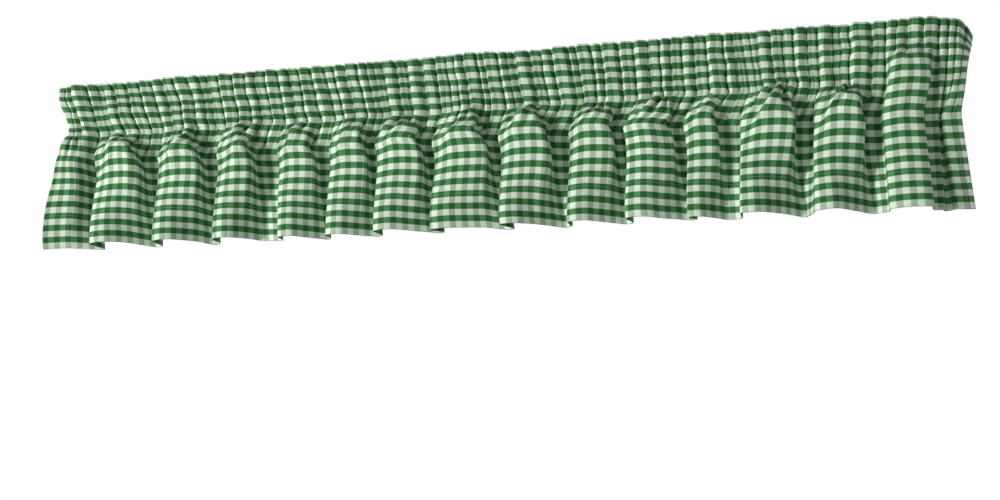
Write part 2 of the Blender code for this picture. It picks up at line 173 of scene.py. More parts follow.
# name, x of the left edge at the top, middle and hem in mm, widths of its pleats in mm, then shape
FOLDS: tuple[Fold, ...] = (
    Fold("F00", -646, -630, -649, (12, 10, 22), face=(0.50, 0.45), tilt=(4.0, -24.0), tuck=0.0,
         slope_turn=0.0, opening=110.0, lean=14.0, throat=0.0),
    Fold("F01", -602, -574, -577, (18, 10, 17, 21, 20, 20), face=(0.46, 0.14), tuck=14.0,
         slope=(0.60, 0.20), slope_turn=36.0),
    Fold("F02", -497, -470, -474, (19, 18, 21, 19, 13, 17), face=(0.44, 0.14), slope=(0.50, 0.12)),
    Fold("F03", -389, -377, -383, (21, 20, 17, 16, 20), face=(0.37, 0.16), slope=(0.70, 0.25),
         slope_turn=40.0),
    Fold("F04", -295, -286, -282, (17, 15, 18, 20), face=(0.48, 0.16), tuck=0.0,
         slope=(0.40, 0.12)),
    Fold("F05", -224, -206, -212, (14, 17, 18, 15, 12), face=(0.49, 0.18), tuck=2.0,
         slope=(0.50, 0.20), slope_turn=26.0),
    Fold("F06", -149, -137, -141, (13, 21, 15, 22, 20), face=(0.50, 0.15), tuck=8.0,
         slope_turn=22.0),
    Fold("F07", -58, -56, -63, (16, 12, 14, 19, 10, 19), face=(0.52, 0.12), tuck=20.0,
         slope=(0.55, 0.18), slope_turn=36.0),
    Fold("F08", 32, 38, 36, (14, 11, 21, 15, 15, 22), face=(0.46, 0.12), tuck=20.0,
         slope=(0.42, 0.12), slope_turn=34.0),
    Fold("F09", 132, 138, 132, (12, 21, 14, 23, 19), face=(0.48, 0.15), slope=(0.34, 0.12)),
    Fold("F10", 221, 213, 209, (19, 16, 15, 15, 17), face=(0.50, 0.20), tuck=10.0,
         tilt=(8.0, 12.0), dip=24.0, slope_turn=0.0),
    Fold("F11", 303, 291, 290, (15, 21, 14, 12), face=(0.42, 0.15), tuck=14.0,
         slope=(0.48, 0.12), slope_turn=36.0),
    Fold("F12", 365, 364, 360, (12, 9, 18, 15, 14, 17, 13), face=(0.48, 0.13), tuck=2.0,
         slope=(0.60, 0.16), slope_turn=36.0),
    Fold("F13", 463, 459, 457, (20, 11, 13, 26, 17), face=(0.47, 0.16), tuck=-8.0,
         slope=(0.58, 0.14), slope_turn=38.0, lean=4.0),
    Fold("F14", 551, 543, 547, (15, 12, 20, 18), face=(0.50, 0.42), rise=86.0, tuck=-4.0,
         tilt=(8.0, 12.0), dip=16.0, slope_turn=0.0, spread=0.1, opens=26.0, opening=64.0,
         lean=0.0, throat=0.0),
    Fold("F15", 617, 608, 610, (9, 7, 8, 7), tuck=0.0, tilt=(-18.0, -24.0), lean=0.0),
)
RIGHT_EDGE = Fold("right_edge", 660, 639, 651, (), tuck=0.0, lean=0.0)


@dataclass(frozen=True)
class Crease:
    """One soft ridge or trough, from a share of a fold at one level to a share at a lower one."""

    fold: str
    start: tuple[float, float]
    end: tuple[float, float]
    lift: float
    width: float = 4.6


# fold, then share of its flat width and level in mm at both ends, then height in mm
CREASES: tuple[Crease, ...] = (
    Crease("F00", (0.55, 80), (0.66, 150), 2.5, 8.0),
    Crease("F01", (0.34, 84), (0.24, 118), 2.5),
    Crease("F01", (0.50, 84), (0.44, 124), -2.8),
    Crease("F01", (0.58, 82), (0.56, 166), 3.4, 7.0),
    Crease("F02", (0.32, 84), (0.28, 112), -2.5),
    Crease("F02", (0.44, 82), (0.38, 146), 3.1, 6.5),
    Crease("F02", (0.60, 84), (0.66, 112), -2.2),
    Crease("F03", (0.30, 84), (0.26, 128), 2.5),
    Crease("F03", (0.44, 84), (0.36, 140), -3.4, 7.0),
    Crease("F03", (0.54, 82), (0.44, 158), 3.1, 7.0),
    Crease("F04", (0.30, 84), (0.26, 114), -2.8),
    Crease("F04", (0.37, 82), (0.33, 126), 2.8),
    Crease("F04", (0.60, 82), (0.64, 110), 2.2),
    Crease("F05", (0.40, 82), (0.36, 142), 2.8),
    Crease("F05", (0.48, 84), (0.44, 126), -2.8),
    Crease("F05", (0.58, 82), (0.60, 118), 2.5),
    Crease("F06", (0.26, 82), (0.24, 112), 2.2),
    Crease("F06", (0.34, 84), (0.32, 106), -2.2),
    Crease("F06", (0.60, 82), (0.65, 114), 2.8),
    Crease("F07", (0.30, 84), (0.24, 122), 2.8),
    Crease("F07", (0.37, 84), (0.28, 114), -2.5),
    Crease("F07", (0.52, 82), (0.58, 108), 2.8),
    Crease("F07", (0.60, 84), (0.68, 118), -2.8),
    Crease("F08", (0.30, 84), (0.26, 106), -2.5),
    Crease("F08", (0.40, 84), (0.36, 130), 2.5),
    Crease("F08", (0.49, 86), (0.60, 114), -3.4),
    Crease("F08", (0.57, 82), (0.66, 122), 2.8),
    Crease("F08", (0.70, 150), (0.62, 235), 2.2, 9.0),
    Crease("F09", (0.24, 84), (0.22, 106), 2.2),
    Crease("F09", (0.31, 84), (0.38, 102), -2.8),
    Crease("F09", (0.54, 80), (0.67, 116), 3.6),
    Crease("F10", (0.28, 82), (0.26, 112), -2.8),
    Crease("F10", (0.36, 82), (0.33, 106), 2.5),
    Crease("F10", (0.47, 84), (0.46, 120), -2.5, 7.0),
    Crease("F10", (0.62, 80), (0.67, 116), 3.4),
    Crease("F11", (0.30, 84), (0.22, 122), 3.1),
    Crease("F11", (0.40, 82), (0.30, 120), -3.1),
    Crease("F11", (0.52, 84), (0.55, 106), 2.5),
    Crease("F12", (0.23, 84), (0.20, 110), -3.1),
    Crease("F12", (0.30, 82), (0.23, 118), 3.1),
    Crease("F12", (0.38, 84), (0.29, 126), -3.1),
    Crease("F12", (0.46, 82), (0.37, 132), 3.1),
    Crease("F12", (0.53, 84), (0.57, 108), -3.1),
    Crease("F12", (0.60, 82), (0.67, 128), 3.4),
    Crease("F13", (0.24, 90), (0.38, 94), -2.5),
    Crease("F13", (0.46, 84), (0.32, 134), 3.1),
    Crease("F13", (0.54, 84), (0.40, 128), -2.5),
    Crease("F14", (0.34, 12), (0.33, 130), 2.2, 10.0),
    Crease("F14", (0.52, 20), (0.50, 170), -2.2, 10.0),
)


def linear(code: str) -> tuple[float, float, float, float]:
    """Turn an sRGB hex colour into linear values.

    Args:
        code: Six hex digits, red first.

    Returns:
        Linear red, green and blue, and an alpha of one.
    """
    channels = [int(code[index:index + 2], 16) / 255.0 for index in (0, 2, 4)]
    red, green, blue = (value / 12.92 if value <= 0.04045 else ((value + 0.055) / 1.055) ** 2.4
                        for value in channels)
    return red, green, blue, 1.0


def add_node(tree: bpy.types.NodeTree, kind: str, settings: dict[str, Any] | None = None,
             links: dict[int | str, Any] | None = None) -> bpy.types.Node:
    """Add a shader node with its settings, and fill or link its inputs.

    Args:
        tree: The node tree that takes the node.
        kind: Blender's name for the node type, without its ShaderNode prefix.
        settings: Properties of the node itself.
        links: Values or output sockets, by the name or number of the input.

    Returns:
        The new node.
    """
    node = tree.nodes.new("ShaderNode" + kind)
    for name, value in (settings or {}).items():
        setattr(node, name, value)
    for key, value in (links or {}).items():
        if isinstance(value, bpy.types.NodeSocket):
            tree.links.new(value, node.inputs[key])
        else:
            node.inputs[key].default_value = value
    return node


def soft_step(value: np.ndarray) -> np.ndarray:
    """Rise smoothly from 0 to 1 as the value goes from 0 to 1."""
    clipped = np.clip(value, 0.0, 1.0)
    return clipped * clipped * (3.0 - 2.0 * clipped)


def band(share: np.ndarray, start: Any, end: Any, bend_in: Any = SHARP_BEND,
         bend_out: Any = SHARP_BEND) -> np.ndarray:
    """Return 1 between two shares of a fold and 0 outside, with soft ends.

    Args:
        share: Places across the fold.
        start: Where the band starts.
        end: Where the band ends.
        bend_in: How softly it starts.
        bend_out: How softly it ends.

    Returns:
        The weight at each place.
    """
    rise = soft_step((share - start) / bend_in + 0.5)
    drop = soft_step((end - share) / bend_out + 0.5)
    return rise * drop


def back_line(levels: np.ndarray, fold: Fold, tucked: bool = True) -> np.ndarray:
    """Place the line down the panel at which a fold starts, behind its left edge.

    Args:
        levels: Levels below the top edge, in millimetres.
        fold: The fold's row of the table.
        tucked: Whether the line moves over to the fold's tuck at the hem.

    Returns:
        The x of the line on each level, in millimetres.
    """
    gathered = fold.top + (fold.mid - fold.top) * GATHER_LEVEL / MID_LEVEL + fold.lean
    mid, inner = fold.mid, fold not in (FOLDS[0], FOLDS[-1], RIGHT_EDGE)
    hem = fold.hem + fold.tuck * tucked
    if inner:
        mid, hem = mid + UPPER_TUCK, hem + HEM_TUCK
    return np.interp(levels, (TOP_LEVEL, GATHER_LEVEL, MID_LEVEL, HEM_LEVEL),
                     (fold.top, gathered, mid, hem))[:, None]


def halve_to(target: np.ndarray, measure: Callable[[np.ndarray], np.ndarray],
             most: float) -> np.ndarray:
    """Find by halving the value at which a falling measure meets the target on every level.

    Args:
        target: What the measure is to reach on each level.
        measure: Gives the measure that a value on each level leads to.
        most: The largest value allowed.

    Returns:
        The value on each level.
    """
    low = np.zeros_like(target)
    high = np.full_like(target, most)
    for _ in range(HALVINGS):
        middle = (low + high) / 2.0
        too_small = measure(middle) > target
        low = np.where(too_small, middle, low)
        high = np.where(too_small, high, middle)
    return (low + high) / 2.0


def smooth_across(values: np.ndarray, columns: int) -> np.ndarray:
    """Average each level over a few columns either side, repeating the ends."""
    kernel = np.hanning(2 * columns + 3)[1:-1]
    kernel = kernel / kernel.sum()
    padded = np.pad(values, ((0, 0), (columns, columns)), mode="edge")
    return np.stack([np.convolve(row, kernel, mode="valid") for row in padded])


class FoldCurve:
    """Direction of the cloth across one fold, level by level."""

    def __init__(self, fold: Fold, following: Fold, levels: np.ndarray,
                 steps_per_pleat: int) -> None:
        """Lay the fold out flat.

        Args:
            fold: The fold's row of the table.
            following: The row to its right, where the fold ends.
            levels: Levels below the top edge, in millimetres.
            steps_per_pleat: How many steps each heading pleat gets.
        """
        self.fold = fold
        self.place = (FoldPlace.LEFT_END if fold is FOLDS[0] else
                      FoldPlace.RIGHT_END if fold is FOLDS[-1] else FoldPlace.BETWEEN)
        self.left = back_line(levels, fold)
        self.width = back_line(levels, following) - self.left
        self.plumb_width = back_line(levels, following, False) - back_line(levels, fold, False)
        stated = ((following.top - fold.top) + (following.mid - fold.mid)
                  + (following.hem - fold.hem)) / 3.0
        self.flat_width = FULLNESS * stated
        steps = steps_per_pleat * len(fold.pleats)
        edges = np.concatenate(((0.0,), np.cumsum(fold.pleats))) / sum(fold.pleats)
        pleat_count = np.linspace(0.0, len(fold.pleats), steps + 1)
        self.share_edges = np.interp(pleat_count, np.arange(len(fold.pleats) + 1), edges)
        self.share = ((self.share_edges[1:] + self.share_edges[:-1]) / 2.0)[None, :]
        self.step = np.diff(self.share_edges)[None, :]
        middles = (pleat_count[1:] + pleat_count[:-1]) / 2.0
        place = fold.top + (following.top - fold.top) * self.share
        self.phase = middles[None, :] + PLEAT_WANDER * np.sin(
            2.0 * math.pi * (levels[:, None] / WANDER_DROP + place / WANDER_RUN))
        widths = np.array(fold.pleats, dtype=float)
        self.sharpness = np.interp(middles, np.arange(len(widths)) + 0.5,
                                   np.sqrt(widths.mean() / widths))[None, :]
        self.below = (levels - GATHER_LEVEL)[:, None]
        self.setback = RECESS_SETBACK * soft_step(self.below / SETBACK_LENGTH)
        swell = HEADING_SWELL * soft_step(
            (levels[:, None] - HEADING_STILL) / (GATHER_LEVEL - HEADING_STILL))
        open_share = np.clip((levels[:, None] - fold.opens) / fold.opening, 0.0, 1.0)
        opened = 1.0 - (1.0 - open_share) ** OPENING_HASTE
        self.opening = swell + (1.0 - swell) * opened

    def shaped(self, pair: tuple[float, float], start: float = SPREAD_LEVEL) -> np.ndarray:
        """Interpolate a pair of shape values between a level and the hem."""
        return pair[0] + (pair[1] - pair[0]) * soft_step(
            (self.below + GATHER_LEVEL - start) / (HEM_LEVEL - start))

    def width_of(self, angle: np.ndarray) -> np.ndarray:
        """Measure how wide the bent cloth is."""
        return (np.cos(angle) * self.step).sum(axis=1, keepdims=True) * self.flat_width

    def depth_left_over(self, angle: np.ndarray) -> np.ndarray:
        """Measure how far forward the fold ends, which is nothing once it closes."""
        return (np.sin(angle) * self.step).sum(axis=1, keepdims=True)

    def profile(self, across: np.ndarray) -> np.ndarray:
        """Return the direction of the face, from its left edge at 0 to its right edge at 1."""
        tilt = np.radians(self.shaped(self.fold.tilt, MID_LEVEL))
        crown = tilt + (CROWN_END - tilt) * across
        fading = self.shaped((1.0, DIP_LEFT_AT_HEM), MID_LEVEL)
        dip = math.radians(self.fold.dip) * fading * np.sin(2.0 * math.pi * across)
        drift = self.fold.slope[1] - self.fold.slope[0]
        middle = self.fold.slope[0] + drift * soft_step(self.below / SLOPE_DRIFT)
        raised_by = math.radians(self.fold.slope_turn) * (
            1.0 - soft_step((self.below - SLOPE_HOLD) / SLOPE_FADE))
        slope = band(across, middle - SLOPE_WIDTH / 2.0, middle + SLOPE_WIDTH / 2.0, SLOPE_BEND,
                     SLOPE_BEND)
        return crown + dip + raised_by * slope

    def upper_angle(self) -> np.ndarray:
        """Bend the fold as it hangs in the upper skirt, with a broad face and steep flanks.

        The flanks turn as far as the table says, and their lengths are what is solved for.

        Returns:
            The direction of the cloth at each step of each level, in radians.
        """
        face = self.fold.face[0] - self.fold.throat * (
            1.0 - soft_step(self.below / THROAT_LENGTH))
        face = face / np.cos(self.profile(np.linspace(0.0, 1.0, FACE_SAMPLES)[None, :])).mean(
            axis=1, keepdims=True)
        rise, fall = math.radians(self.fold.rise), math.radians(self.fold.fall)
        self.face_width = face

        def laid_out(left: np.ndarray) -> np.ndarray:
            """Set the face after a left flank of this length and take the right flank back."""
            self.face_start = left + SHARP_BEND / 2.0
            face_end = self.face_start + face
            across = np.clip((self.share - self.face_start) / face, 0.0, 1.0)
            raised = rise * band(self.share, SHARP_BEND / 2.0, self.face_start)
            raised = raised + self.profile(across) * band(self.share, self.face_start, face_end)

            def closed(right: np.ndarray) -> np.ndarray:
                """Add a right flank of this length."""
                self.recess_start = np.minimum(face_end + right, 1.0 - SHARP_BEND / 2.0)
                return raised - fall * band(self.share, face_end, self.recess_start)

            return closed(halve_to(np.zeros_like(left),
                                   lambda right: self.depth_left_over(closed(right)),
                                   LONGEST_FALL))

        return laid_out(halve_to(self.plumb_width, lambda left: self.width_of(laid_out(left)),
                                 LONGEST_FLANK))

    def lower_angle(self) -> np.ndarray:
        """Bend the fold as it hangs at the hem, where it slopes back from its left edge.

        The same cloth turns at the same places as above, so that its threads hang plumb. How far
        it slopes back and how far the recess comes forward again are what is solved for.

        Returns:
            The direction of the cloth at each step of each level, in radians.
        """
        start = np.maximum(self.face_start, abs(self.fold.tuck) / MOST_TUCKED / self.flat_width)
        crest_end = start + self.fold.face[1]
        rise = np.arccos(np.clip(-self.fold.tuck / (start * self.flat_width),
                                 -MOST_TUCKED, MOST_TUCKED))
        tilt = math.radians(self.fold.tilt[1])
        from_back = soft_step(self.share / BACK_BEND)
        to_back = soft_step((self.share - 1.0 + BACK_BEND) / BACK_BEND)
        turned = soft_step((start - self.share) / SHARP_BEND + 0.5)
        crest = tilt * band(self.share, start, crest_end, SHARP_BEND, SOFT_BEND)
        slope = band(self.share, crest_end, self.recess_start, SOFT_BEND, SHARP_BEND)
        recess = soft_step((self.share - self.recess_start) / SHARP_BEND + 0.5)
        left = (rise * from_back + BACK_TURN * (1.0 - from_back)) * turned

        def forward(turn: np.ndarray) -> np.ndarray:
            """Bring the recess forward by this turn and slope the face back to meet it."""
            raised = left + crest + (turn * (1.0 - to_back) + BACK_TURN * to_back) * recess
            return raised - slope * halve_to(
                np.zeros_like(turn), lambda back: self.depth_left_over(raised - back * slope),
                STEEPEST_SLOPE)

        return forward(halve_to(self.width, lambda turn: self.width_of(forward(turn)),
                                STEEPEST_RECESS))

    def fold_angle(self) -> np.ndarray:
        """Bend the fold on every level.

        Returns:
            The direction of the cloth at each step of each level, in radians.
        """
        if self.place is FoldPlace.RIGHT_END:
            tilt = np.radians(self.shaped(self.fold.tilt, MID_LEVEL))
            wave = -np.sin(2.0 * math.pi * np.minimum(self.share / END_WAVE, 1.0))
            return tilt + wave * halve_to(
                self.width, lambda swing: self.width_of(tilt + swing * wave), STEEPEST_END)
        if self.place is FoldPlace.LEFT_END:
            self.face_start, self.face_width = np.zeros_like(self.below), self.shaped(self.fold.face)
            front = self.profile(self.share / self.face_width) * band(
                self.share, -SHARP_BEND, self.face_width)
            falling = band(self.share, self.face_width, 1.0 - SHARP_BEND / 2.0,
                           SHARP_BEND, SHARP_BEND)
            return front - falling * halve_to(
                self.width, lambda turn: self.width_of(front - turn * falling), STEEPEST_END)
        upper = self.upper_angle()
        spread = self.fold.spread * soft_step(
            (self.below + GATHER_LEVEL - SPREAD_LEVEL) / (HEM_LEVEL - SPREAD_LEVEL)) ** SPREAD_DELAY
        return upper + (self.lower_angle() - upper) * spread

    def row_lift(self) -> np.ndarray:
        """Return how far the rows are drawn up towards the gathers, in millimetres."""
        if self.place is not FoldPlace.BETWEEN:
            return np.zeros((len(self.below), len(self.share_edges)))
        across = (self.share_edges[None, :] - self.face_start) / self.face_width
        drift = self.fold.slope[1] - self.fold.slope[0]
        middle = self.fold.slope[0] + drift * soft_step(self.below / SLOPE_DRIFT)
        stepped = soft_step((across - middle) / ROW_STEP + 0.5)
        returned = 1.0 - soft_step((across - ROW_RETURN[0]) / ROW_RETURN[1])
        kept = soft_step(self.below / ROW_LIFT_START) * (
            1.0 - soft_step((self.below - ROW_LIFT_START) / ROW_LIFT_FADE))
        strength = math.radians(self.fold.slope_turn) / math.radians(36.0)
        return ROW_LIFT * strength * kept * stepped * returned

    def ripple(self) -> np.ndarray:
        """Return how much the pleats turn the cloth, steeply up to a crest and gently back."""
        through = self.phase % 1.0
        rising = soft_step((PLEAT_RISE - through) / PLEAT_BEND + 0.5)
        falling = soft_step((through - 1.0 + PLEAT_FALL) / PLEAT_BEND + 0.5)
        return (PLEAT_RISE_TURN * rising - falling
                - PLEAT_TILT * (1.0 - rising - falling)) * self.sharpness

    def angle(self) -> np.ndarray:
        """Blend the heading's pleats into the open fold below the gather line."""
        opened = self.opening * self.fold_angle()
        if self.place is FoldPlace.RIGHT_END:
            recess = np.ones_like(opened)
        else:
            recess = 1.0 - band(self.share, self.face_start / 2.0,
                                self.face_start + self.face_width + SHARP_BEND)
        fade = PLEAT_FADE_CREST + (PLEAT_FADE_RECESS - PLEAT_FADE_CREST) * recess
        kept = 1.0 - soft_step((self.below + GATHER_LEVEL - self.fold.opens) / fade)
        ripple = kept * self.ripple()
        steepest = STEEPEST_IN_HEADING + SLACK_BELOW * (1.0 - kept)

        def pleated(turn: np.ndarray) -> np.ndarray:
            """Turn the pleats this far, and nowhere so far that the cloth meets itself."""
            return np.clip(opened + turn * ripple, -steepest, steepest)

        return pleated(halve_to(self.width, lambda turn: self.width_of(pleated(turn)),
                                STEEPEST_PLEAT))

    def points(self) -> tuple[np.ndarray, np.ndarray]:
        """Return x and y along the fold in millimetres, one row for each level."""
        angle = self.angle()
        run = np.cumsum(np.cos(angle) * self.step, axis=1)
        rise = np.cumsum(np.sin(angle) * self.step, axis=1) * self.flat_width
        run = np.hstack((np.zeros((len(run), 1)), run / run[:, -1:]))
        rise = np.hstack((np.zeros((len(rise), 1)), rise))
        if self.place is FoldPlace.LEFT_END:
            rise = rise - rise[:, -1:]
        elif self.place is FoldPlace.BETWEEN:
            rise = rise - rise[:, -1:] * self.share_edges[None, :]
        return self.left + run * self.width, self.setback - rise


@dataclass
class ValancePanel:
    """The one panel of cloth: heading, skirt, top turning, side hems and lower hem."""

    steps_per_pleat: int = 8
    level_step: float = 2.5
    cloth_thickness: float = 0.5
    layer_gap: float = 0.9
    top_turning: float = 22.0
    lower_hem: float = 48.0
    side_hem: float = 12.0
    crease_end: float = 9.0
    pucker_lift: float = 0.5
    pucker_length: float = 10.5
    pucker_reach: float = 6.5
    corner_droop: float = 8.0
    corner_width: float = 45.0

    def __post_init__(self) -> None:
        """Hang the cloth and keep its surface for the hems and the stitching."""
        self.levels = np.arange(TOP_LEVEL, HEM_LEVEL + self.level_step / 2.0, self.level_step)
        curves = [FoldCurve(fold, following, self.levels, self.steps_per_pleat)
                  for fold, following in zip(FOLDS, FOLDS[1:] + (RIGHT_EDGE,))]
        flat = [np.zeros(1)]
        for curve in curves:
            flat.append(flat[-1][-1] + curve.share_edges[1:] * curve.flat_width)
        self.across = np.concatenate(flat)
        self.width = float(self.across[-1])
        hung = self.hang(curves)
        relief = self.creases(curves) + self.puckers()
        self.surface = hung - self.normals(hung) * relief[:, :, None]
        self.backward = self.normals(self.surface)

    def hang(self, curves: list[FoldCurve]) -> np.ndarray:
        """Place every point of the cloth.

        Args:
            curves: The folds from left to right.

        Returns:
            Points by level, column and axis, in millimetres.
        """
        pieces = [curve.points() for curve in curves]
        x = np.hstack([pieces[0][0]] + [piece[0][:, 1:] for piece in pieces[1:]])
        y = np.hstack([pieces[0][1]] + [piece[1][:, 1:] for piece in pieces[1:]])
        drop = np.diff(self.levels)[:, None]
        lean = (np.diff(x, axis=0) ** 2 + np.diff(y, axis=0) ** 2) / drop ** 2
        steep = 1.0 - np.sqrt(np.maximum(1.0 - lean, LEAST_UPRIGHT))
        fall = smooth_across((1.0 - LIFT_SHARE * steep) * drop, self.steps_per_pleat)
        z = -np.vstack((np.zeros((1, x.shape[1])), np.cumsum(fall, axis=0)))
        lifts = [curve.row_lift() for curve in curves]
        z += smooth_across(np.hstack([lifts[0]] + [lift[:, 1:] for lift in lifts[1:]]), 2)
        droop = soft_step((self.levels[:, None] - GATHER_LEVEL) / (HEM_LEVEL - GATHER_LEVEL))
        z -= self.corner_droop * droop * np.exp(-self.across[None, :] / self.corner_width)
        self.curl_ear(x, y, z)
        return np.stack((x, y, z), axis=-1)

    def creases(self, curves: list[FoldCurve]) -> np.ndarray:
        """Raise and sink the cloth along its creases.

        Args:
            curves: The folds from left to right.

        Returns:
            How far each point of the cloth stands out, in millimetres.
        """
        relief = np.zeros((len(self.levels), len(self.across)))
        begins = dict(zip((curve.fold.name for curve in curves),
                          np.cumsum([0.0] + [curve.flat_width for curve in curves])))
        widths = {curve.fold.name: curve.flat_width for curve in curves}
        for crease in CREASES:
            (first, high), (last, low) = crease.start, crease.end
            level = self.levels[:, None]
            along = np.clip((level - high) / (low - high), 0.0, 1.0)
            line = begins[crease.fold] + widths[crease.fold] * (first + (last - first) * along)
            fading = (soft_step((level - high) / self.crease_end + 1.0)
                      * soft_step((low - level) / self.crease_end + 1.0))
            away = (self.across[None, :] - line) / crease.width
            relief += crease.lift * fading * np.exp(-away ** 2)
        return relief

    def puckers(self) -> np.ndarray:
        """Return the small waves that the hem's stitching draws into the cloth."""
        across = self.across[None, :]
        wave = np.sin(2.0 * math.pi * across / self.pucker_length
                      + np.sin(across / (2.0 * self.pucker_length)))
        stitching = HEM_LEVEL - self.lower_hem
        reach = (self.levels[:, None] - stitching) / self.pucker_reach
        return self.pucker_lift * wave * np.exp(-reach ** 2)

    def curl_ear(self, x: np.ndarray, y: np.ndarray, z: np.ndarray) -> None:
        """Set the right end of the heading back and let its loose corner curl and droop."""
        levels = self.levels[:, None]
        heading = 1.0 - soft_step(levels / GATHER_LEVEL)
        y += RETURN_SETBACK * heading * soft_step((x - RETURN_START) / (x[0, -1] - RETURN_START))
        ear = 1.0 - soft_step(levels / EAR_HEIGHT)
        across = np.clip(1.0 - (x[:, -1:] - x) / EAR_WIDTH, 0.0, 1.0)
        y += EAR_SETBACK * ear * across ** EAR_CURL
        z -= EAR_DROOP * ear * across ** EAR_SAG

    def normals(self, surface: np.ndarray) -> np.ndarray:
        """Return the direction out of the back of the cloth at every point of its surface."""
        down = np.gradient(surface, axis=0)
        right = np.gradient(surface, axis=1)
        out = np.cross(right, down)
        return out / np.maximum(np.linalg.norm(out, axis=-1, keepdims=True), 1e-9)

    def sampled(self, field: np.ndarray, across: np.ndarray, down: np.ndarray) -> np.ndarray:
        """Read a field of the cloth on a grid of flat places.

        Args:
            field: Values by level, column and axis.
            across: Places across the flat cloth, in millimetres.
            down: Places down the flat cloth, in millimetres.

        Returns:
            Values by place down, place across and axis.
        """
        row = np.interp(down, self.levels, np.arange(len(self.levels)))
        above = np.minimum(row.astype(int), len(self.levels) - 2)
        part = (row - above)[:, None, None]
        rows = field[above] * (1.0 - part) + field[above + 1] * part
        column = np.interp(across, self.across, np.arange(len(self.across)))
        before = np.minimum(column.astype(int), len(self.across) - 2)
        part = (column - before)[None, :, None]
        return rows[:, before] * (1.0 - part) + rows[:, before + 1] * part

    def traced(self, field: np.ndarray, across: np.ndarray, down: np.ndarray) -> np.ndarray:
        """Read a field of the cloth at single flat places.

        Args:
            field: Values by level, column and axis.
            across: How far across the flat cloth each place is, in millimetres.
            down: How far down the flat cloth each place is, in millimetres.

        Returns:
            The value at each place, by axis.
        """
        row = np.interp(down, self.levels, np.arange(len(self.levels)))
        column = np.interp(across, self.across, np.arange(len(self.across)))
        above = np.minimum(row.astype(int), len(self.levels) - 2)
        before = np.minimum(column.astype(int), len(self.across) - 2)
        low, right = (row - above)[..., None], (column - before)[..., None]
        upper = field[above, before] * (1.0 - right) + field[above, before + 1] * right
        lower = field[above + 1, before] * (1.0 - right) + field[above + 1, before + 1] * right
        return upper * (1.0 - low) + lower * low

    def turned(self, cut: np.ndarray, length: float) -> tuple[np.ndarray, np.ndarray]:
        """Fold both ends of a cut length to the back.

        Args:
            cut: Places on the cut cloth, below nought and past the length where it is turned.
            length: The finished length between the folded edges.

        Returns:
            The place that each lies at once turned, and how many layers it lies behind the front.
        """
        radius = self.layer_gap / 2.0
        arc = math.pi * radius / 2.0
        past = np.maximum(-cut, cut - length)
        angle = np.clip((past + arc) / (2.0 * arc), 0.0, 1.0) * math.pi
        inward = np.where(past < -arc, -past, np.where(past > arc, past, arc))
        inward = np.where(np.abs(past) <= arc, arc - radius * np.sin(angle), inward)
        place = np.where(-cut > cut - length, inward, length - inward)
        return place, (1.0 - np.cos(angle)) / 2.0

    def cut_lines(self, length: float, inner: np.ndarray, first: float, last: float,
                  steps: int) -> np.ndarray:
        """List the cut places of the mesh's lines from one raw edge to the other.

        Args:
            length: The finished length between the folded edges.
            inner: The lines between the folded edges.
            first: How much is turned before nought.
            last: How much is turned past the length.
            steps: How many lines each turning gets.

        Returns:
            Cut places in rising order, in millimetres.
        """
        arc = math.pi * self.layer_gap / 4.0
        bend = np.linspace(-arc, arc, 4)
        kept = inner[(inner > 2.0 * arc) & (inner < length - 2.0 * arc)]
        return np.concatenate((np.linspace(-first, -2.0 * arc, steps), bend, kept, length + bend,
                               np.linspace(length + 2.0 * arc, length + last, steps)))

    def down_lines(self) -> np.ndarray:
        """List the levels that the mesh's rows lie on, closest below the gather line."""
        return np.concatenate((np.arange(4.0, 76.0, 6.0), np.arange(76.0, 124.0, 3.0),
                               np.arange(124.0, HEM_LEVEL, 5.0)))

    def build(self) -> bpy.types.Object:
        """Bend a flat grid into the hanging panel and give it the thickness of the cloth.

        Returns:
            The panel.
        """
        cut_across = self.cut_lines(self.width, self.across, self.side_hem, self.side_hem, 3)
        cut_down = self.cut_lines(HEM_LEVEL, self.down_lines(), self.top_turning, self.lower_hem, 6)
        across, layer_across = self.turned(cut_across, self.width)
        down, layer_down = self.turned(cut_down, HEM_LEVEL)
        layers = layer_down[:, None] + layer_across[None, :]
        points = self.sampled(self.surface, across, down)
        backward = self.sampled(self.backward, across, down)
        points = points + backward * (layers * self.layer_gap)[:, :, None]

        sheet = bmesh.new()
        bmesh.ops.create_grid(sheet, x_segments=len(cut_across) - 1, y_segments=len(cut_down) - 1,
                              size=1.0)
        mesh = bpy.data.meshes.new("gathered_panel")
        sheet.to_mesh(mesh)
        sheet.free()
        mesh.vertices.foreach_set("co", (points[::-1] / MM_PER_M).ravel())
        cut = np.stack(np.meshgrid(cut_across, cut_down[::-1]), axis=-1).reshape(-1, 2) / MM_PER_M
        corners = np.zeros(len(mesh.loops), dtype=np.int32)
        mesh.loops.foreach_get("vertex_index", corners)
        mesh.uv_layers.new(name="cut").data.foreach_set("uv", cut[corners].ravel())
        mesh.shade_smooth()
        mesh.update()
        panel = bpy.data.objects.new("gathered_panel", mesh)
        bpy.context.collection.objects.link(panel)
        thickness = panel.modifiers.new("cloth_thickness", "SOLIDIFY")
        thickness.thickness = self.cloth_thickness / MM_PER_M
        thickness.offset = 0.0
        thickness.use_even_offset = False
        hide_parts(NODE_NAME)
        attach(panel, "root")
        return panel

    def dress(self, panel: bpy.types.Object, finish: "CheckCotton") -> None:
        """Give the panel its cloth."""
        panel.data.materials.append(finish.material())


